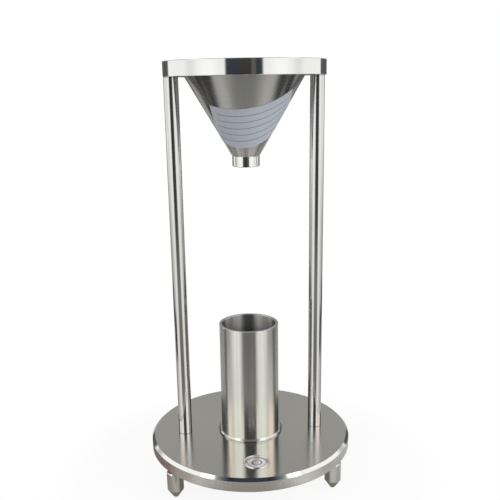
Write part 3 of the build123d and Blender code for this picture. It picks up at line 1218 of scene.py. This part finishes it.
def painted(graph: Graph, under: Feed, panels: Sequence[Panel], azimuth: Value, rise: Value) -> Feed:
    """Lays patches over a colour, one after another.

    Args:
        graph: where the nodes go.
        under: the colour so far.
        panels: the patches.
        azimuth: place round the object.
        rise: place upwards, or outwards on the table.

    Returns:
        The new colour.
    """
    for panel in panels:
        under = graph.mix(panel.mask(azimuth, rise), under, panel.colour)
    return under


def stage_piece(
    piece: bpy.types.Object, name: str, surface: Callable[[Graph], bpy.types.NodeSocket],
) -> None:
    """Dresses a piece of the stage, whose glow is not sampled as a lamp.

    Args:
        piece: the object.
        name: its material's name.
        surface: adds the material's nodes and gives its shader's socket.
    """
    material = bpy.data.materials.new(name)
    material.cycles.emission_sampling = "NONE"
    graph = Graph(material)
    graph.finish(surface(graph))
    piece.data.materials.append(material)


@dataclass(frozen=True)
class Disc:
    """Thin disc of the stage, as circles. Each is a share of the radius and a rise in millimetres."""

    radius: float
    base: float
    circles: Tuple[Pair, ...]
    columns: int = 96

    def points(self) -> np.ndarray:
        """Points of the disc, with a row for each circle."""
        shares, rises = np.array(self.circles).T[:, :, None]
        return polar_points(shares * self.radius, angles_round(self.columns), rises * MM + self.base)


@dataclass
class LightTent:
    """White tent round the object, with an open front, that only polished metal sees.

    The tent is a ball whose glow is its cloth's colour, painted over by one panel after another. The echo
    panels come on top where one part is seen in another, as the cup is in the plate.
    """

    front: float = -5.0
    radius: float = 2.0
    centre: Colour = (0.0, 0.0, 0.15)
    cloth: Colour = (0.43, 0.43, 0.415)
    panels: Tuple[Panel, ...] = (
        Panel((-1.0, 185.0), (-95.0, -57.0), (1.0, 5.0), (0.48, 0.48, 0.46)),
        Panel((-90.0, 48.0), (-95.0, -52.0), (13.0, 6.0), (0.27, 0.27, 0.26)),
        Panel((56.0, 100.0), (-60.0, -44.0), (10.0, 5.0), (0.60, 0.60, 0.57)),
        Panel((66.0, 102.0), (-34.0, -3.0), (8.0, 6.0), (0.70, 0.70, 0.67)),
        Panel((28.0, 68.0), (-36.0, -3.0), (9.0, 6.0), (1.10, 1.10, 1.04)),
        Panel((25.0, 129.0), (-6.0, 60.0), (2.0, 6.0), (1.15, 1.15, 1.13)),
        Panel((51.0, 65.0), (36.0, 66.0), (3.5, 5.0), (4.80, 4.80, 4.65)),
        Panel((38.0, 62.0), (-8.0, 14.0), (9.0, 6.0), (1.28, 1.28, 1.26)),
        Panel((71.0, 85.0), (-10.0, 12.0), (7.0, 6.0), (0.99, 0.99, 0.98)),
        Panel((25.0, 129.0), (9.0, 16.0), (4.0, 3.0), (0.62, 0.62, 0.60)),
        Panel((130.0, 185.0), (-20.0, 12.0), (2.5, 5.0), (0.12, 0.125, 0.14)),
        Panel((131.0, 163.0), (-12.0, 8.0), (4.0, 6.0), (0.10, 0.105, 0.12)),
        Panel((163.0, 185.0), (13.0, 27.0), (5.0, 4.0), (0.48, 0.475, 0.455)),
        Panel((138.0, 172.0), (-27.0, -8.0), (6.0, 4.0), (0.46, 0.46, 0.44)),
        Panel((-90.0, 57.0), (45.0, 60.5), (28.0, 6.0), (0.025, 0.032, 0.05)),
        Panel((-90.0, 29.0), (-56.0, -17.0), (9.0, 5.0), (0.21, 0.21, 0.21)),
        Panel((-90.0, 24.5), (-13.0, 60.5), (1.8, 6.0), (0.042, 0.051, 0.065)),
        Panel((-8.0, 9.0), (-13.0, 40.0), (1.5, 7.0), (0.048, 0.047, 0.046), False),
        Panel((9.5, 15.5), (-13.0, 40.0), (1.2, 7.0), (0.145, 0.125, 0.105), False),
        Panel((-90.0, 25.0), (9.0, 46.5), (4.0, 3.5), (0.18, 0.18, 0.18)),
    )
    echo_panels: Tuple[Panel, ...] = (
        Panel((15.0, 150.0), (-38.0, -8.0), (8.0, 5.0), (0.16, 0.16, 0.155)),
        Panel((25.0, 129.0), (9.0, 22.0), (2.0, 5.0), (1.3, 1.3, 1.26)),
        Panel((25.0, 70.0), (15.0, 46.0), (2.0, 7.0), (1.9, 1.9, 1.84)),
        Panel((79.0, 106.0), (14.0, 38.0), (5.0, 6.0), (2.1, 1.78, 1.55)),
        Panel((116.0, 165.0), (36.0, 95.0), (7.0, 6.0), (0.09, 0.09, 0.10)),
        Panel((160.0, 185.0), (46.0, 95.0), (7.0, 6.0), (0.09, 0.09, 0.10)),
        Panel((112.0, 166.0), (0.0, 45.0), (3.0, 6.0), (0.085, 0.088, 0.10)),
        Panel((-90.0, 24.5), (4.0, 42.0), (1.8, 6.0), (0.08, 0.084, 0.092)),
    )
    table_radius: float = 0.155
    table: Disc = Disc(
        0.65, 0.3 * MM, ((0.02, 0.1), (0.5, 0.1), (1.0, 0.1), (1.0, 0.0), (0.5, 0.0), (0.02, 0.0)))
    table_shade: Colour = (0.42, 0.41, 0.385)
    table_panels: Tuple[Panel, ...] = (
        Panel((20.0, 62.0), (-1.0, 1.0), (8.0, 0.1), (0.76, 0.75, 0.72)),
        Panel((22.0, 46.0), (-1.0, 1.0), (7.0, 0.1), (0.88, 0.87, 0.85), False),
        Panel((62.0, 190.0), (-1.0, 1.0), (16.0, 0.1), (0.62, 0.61, 0.60), False),
        Panel((-62.0, -20.0), (-1.0, 1.0), (8.0, 0.1), (0.70, 0.69, 0.66), False),
        Panel((-76.0, -47.0), (-1.0, 1.0), (6.0, 0.1), (0.46, 0.41, 0.37), False),
        Panel((-190.0, -68.0), (-1.0, 1.0), (7.0, 0.1), (0.26, 0.19, 0.18), False),
        Panel((-90.0, 34.0), (0.111, 0.15), (10.0, 0.005), (0.53, 0.51, 0.48)),
        Panel((-90.0, 34.0), (0.08, 0.106), (10.0, 0.004), (0.10, 0.095, 0.085)),
        # Painted shadow on the table under the plate.
        Panel((-1.0, 185.0), (-1.0, 0.066), (1.0, 0.008), (0.22, 0.21, 0.20)),
    )
    far_panels: Tuple[Panel, ...] = (
        Panel((76.0, 108.0), (0.295, 0.46), (5.0, 0.015), (0.015, 0.016, 0.02)),
        Panel((102.0, 136.0), (0.41, 0.60), (5.0, 0.02), (0.015, 0.016, 0.02)),
    )
    # Painted contact shadow on the table round each foot.
    contact_shade: Colour = (0.27, 0.27, 0.26)
    contact_reach: Pair = (17.0 * MM, 5.0 * MM)
    fade_from: float = 0.8
    echo_depth: float = 1.5
    ball_grid: Tuple[int, int] = (33, 64)
    ball_top: float = 0.498 * math.pi

    def ball(self) -> np.ndarray:
        """Points of the ball: a circle of latitude for each row, without its poles.

        Returns:
            Rows by columns of points.
        """
        rows, columns = self.ball_grid
        rise = np.linspace(-self.ball_top, self.ball_top, rows)[:, None]
        height = self.centre[2] + self.radius * np.sin(rise)
        return polar_points(self.radius * np.cos(rise), angles_round(columns), height, self.centre[:2])

    def azimuth(self, graph: Graph, x: Value, y: Value) -> Value:
        """Degrees round the object from the tent's front, positive to the right.

        Args:
            graph: where its nodes go.
            x: place in the row frame.
            y: place in the row frame.

        Returns:
            The azimuth, from -180 to 180.
        """
        turn = math.radians(self.front)
        right = x * math.cos(turn) + y * math.sin(turn)
        forward = x * math.sin(turn) - y * math.cos(turn)
        return graph.math("ARCTAN2", right, forward) * math.degrees(1.0)

    def tent_cloth(self, graph: Graph) -> bpy.types.NodeSocket:
        """Glow of the tent, by azimuth from its front and elevation about its centre.

        Args:
            graph: where its nodes go.

        Returns:
            The shader's socket.
        """
        x, y, z = graph.position()
        rise = graph.math("ARCTAN2", z - self.centre[2], axis_distance(x, y)) * math.degrees(1.0)
        azimuth = self.azimuth(graph, x, y)
        colour = painted(graph, self.cloth, self.panels, azimuth, rise)
        echo = painted(graph, colour, self.echo_panels, azimuth, rise)
        depth = Value(graph, graph.add("LightPath").outputs["Ray Depth"])
        return graph.glow(graph.mix(graph.math("GREATER_THAN", depth, self.echo_depth), colour, echo))

    def table_cloth(self, graph: Graph) -> bpy.types.NodeSocket:
        """Glow of the table: patches round the plate, painted shadow under it and at the feet, clear further
        out.

        Args:
            graph: where its nodes go.

        Returns:
            The shader's socket.
        """
        x, y, _ = graph.position()
        radius, azimuth = axis_distance(x, y), self.azimuth(graph, x, y)
        colour = painted(graph, self.table_shade, self.table_panels + self.far_panels, azimuth, radius)
        out = radius.step(self.fade_from * self.table_radius, self.table_radius)
        for panel in self.far_panels:
            out = out * (1.0 - panel.mask(azimuth, radius))
        for place in FOOT_PLACES:
            near = axis_distance(x, y, box_axis("foot_" + place)).step(*self.contact_reach)
            colour = graph.mix(near, colour, self.contact_shade)
        return graph.blend(out, graph.glow(colour), graph.clear())

    def build(self) -> None:
        """Builds the tent and the table as stage pieces that only mirror rays reach."""
        for name, points, cloth_name, cloth in (
            ("light_tent", self.ball(), "tent_cloth", self.tent_cloth),
            ("tent_table", self.table.points(), "table_cloth", self.table_cloth),
        ):
            piece = new_mesh(name, spun_surface(points), Crease.NONE)
            stage_piece(piece, cloth_name, cloth)
            piece.visible_camera = False
            piece.visible_diffuse = False
            piece.visible_transmission = False
            piece.visible_shadow = False


@dataclass(frozen=True)
class Lamp:
    """Soft square lamp that lights paper and floor."""

    name: str
    place: Colour
    aim: Colour
    side: float
    power: float

    def build(self) -> None:
        """Makes the lamp."""
        data = bpy.data.lights.new(self.name, "AREA")
        data.shape = "SQUARE"
        data.size = self.side
        data.energy = self.power
        lamp = bpy.data.objects.new(self.name, data)
        lamp.location = self.place
        lamp.rotation_euler = (Vector(self.aim) - Vector(self.place)).to_track_quat("-Z", "Y").to_euler()
        lamp.visible_glossy = False
        bpy.context.scene.collection.objects.link(lamp)


@dataclass
class Studio:
    """White room: the world, a pale floor that fades into it, the tent and two soft lamps."""

    ambient: float = 0.58
    floor_white: Colour = (0.92, 0.92, 0.92)
    floor_tone: float = 0.985
    floor_grain: float = 6.0 * MM
    floor_roughness: float = 0.9
    floor_lift: float = 0.9
    floor_clear: Pair = (0.1, 0.165)
    floor: Disc = Disc(
        0.17, -0.05 * MM, ((0.02, 0.0), (0.3, 0.0), (0.6, 0.0), (1.0, 0.0), (1.0, -1.0), (0.02, -1.0)))
    tent: LightTent = field(default_factory=LightTent)
    lamps: Tuple[Lamp, ...] = (
        Lamp("lamp_left", (-0.9, -0.7, 1.0), (0.0, 0.0, 0.15), 0.9, 6.0),
        Lamp("lamp_right", (1.0, -0.7, 0.7), (0.0, 0.0, 0.15), 0.9, 10.0),
    )

    def seen_white(self, graph: Graph) -> Value:
        """Tells the rays that show the background: the camera's, mirrored and passing ones.

        Args:
            graph: where its nodes go.

        Returns:
            1 for such a ray and 0 for others.
        """
        path = graph.add("LightPath")
        kinds = ("Is Camera Ray", "Is Glossy Ray", "Is Transmission Ray")
        camera, glossy, passing = (Value(graph, path.outputs[kind]) for kind in kinds)
        return camera.largest(glossy).largest(passing)

    def build_world(self) -> None:
        """White where it is seen, and a plain level of light elsewhere."""
        world = bpy.data.worlds.new("white_room")
        graph = Graph(world)
        strength = self.ambient + self.seen_white(graph) * (1.0 - self.ambient)
        back = graph.add("Background", {}, {"Color": (1.0, 1.0, 1.0), "Strength": strength}).outputs[0]
        graph.finish(back, "OutputWorld")
        world.cycles.sampling_method = "NONE"
        bpy.context.scene.world = world

    def floor_paper(self, graph: Graph) -> bpy.types.NodeSocket:
        """Lit paper, lifted towards white where it is seen, that fades out at its rim.

        Args:
            graph: where its nodes go.

        Returns:
            The shader's socket.
        """
        x, y, _ = graph.position()
        grain = graph.noise(self.floor_grain)
        paper = graph.principled({
            "Base Color": graph.mix(grain, toned(self.floor_white, self.floor_tone), self.floor_white),
            "Roughness": self.floor_roughness,
            "Specular IOR Level": 0.0,
        })
        lit = graph.blend(self.seen_white(graph) * self.floor_lift, paper, graph.glow((1.0, 1.0, 1.0)))
        return graph.blend(axis_distance(x, y).step(*self.floor_clear), lit, graph.clear())

    def build_floor(self) -> None:
        """Builds the pale disc under the feet."""
        piece = new_mesh("floor", spun_surface(self.floor.points()), Crease.WALL)
        stage_piece(piece, "floor_paper", self.floor_paper)

    def build(self) -> None:
        """Sets up world, floor, tent and lamps."""
        self.build_world()
        self.build_floor()
        self.tent.build()
        for lamp in self.lamps:
            lamp.build()
        bpy.context.scene.view_settings.view_transform = "Standard"


@dataclass
class PhotoCamera:
    """Camera at the photograph's viewpoint, with the picture's sizes in pixels and angles in degrees."""

    image: float = 500.0
    focal: float = 710.52
    centre_row: float = 280.0
    azimuth: float = -4.4685
    distance: float = 498.68 * MM
    height: float = 290.39 * MM
    yaw: float = -0.1689
    pitch: float = 15.4293
    roll: float = 0.8984
    sensor: float = 36.0

    def build(self) -> None:
        """Makes the camera and gives it to the scene."""
        around, pitch, roll = (math.radians(a) for a in (self.azimuth, self.pitch, self.roll))
        heading = around + math.radians(self.yaw)
        flat = math.cos(pitch)
        ahead = Vector((-math.sin(heading) * flat, math.cos(heading) * flat, -math.sin(pitch)))
        level = Vector((math.cos(heading), math.sin(heading), 0.0))
        up = level.cross(ahead)
        right = math.cos(roll) * level - math.sin(roll) * up
        top = math.sin(roll) * level + math.cos(roll) * up
        data = bpy.data.cameras.new("photo_camera")
        data.sensor_width = self.sensor
        data.lens = self.focal * self.sensor / self.image
        data.shift_y = (self.centre_row - self.image / 2) / self.image
        camera = bpy.data.objects.new("photo_camera", data)
        turned = Matrix((right, top, -ahead)).transposed().to_4x4()
        place = Vector((math.sin(around) * self.distance, -math.cos(around) * self.distance, self.height))
        camera.matrix_world = Matrix.Translation(place) @ turned
        bpy.context.scene.collection.objects.link(camera)
        bpy.context.scene.camera = camera


def main() -> None:
    """Builds every sub-assembly in order, then the studio and the camera."""
    logging.basicConfig(level=logging.INFO, format="%(name)s: %(message)s")
    feet = [LevellingFoot(place) for place in FOOT_PLACES]
    for part in (Stand(), Funnel(), MeasuringCup(), BubbleLevel(), *feet, Studio(), PhotoCamera()):
        part.build()
        log.info("%s is built", type(part).__name__)


if __name__ == "__main__":
    main()
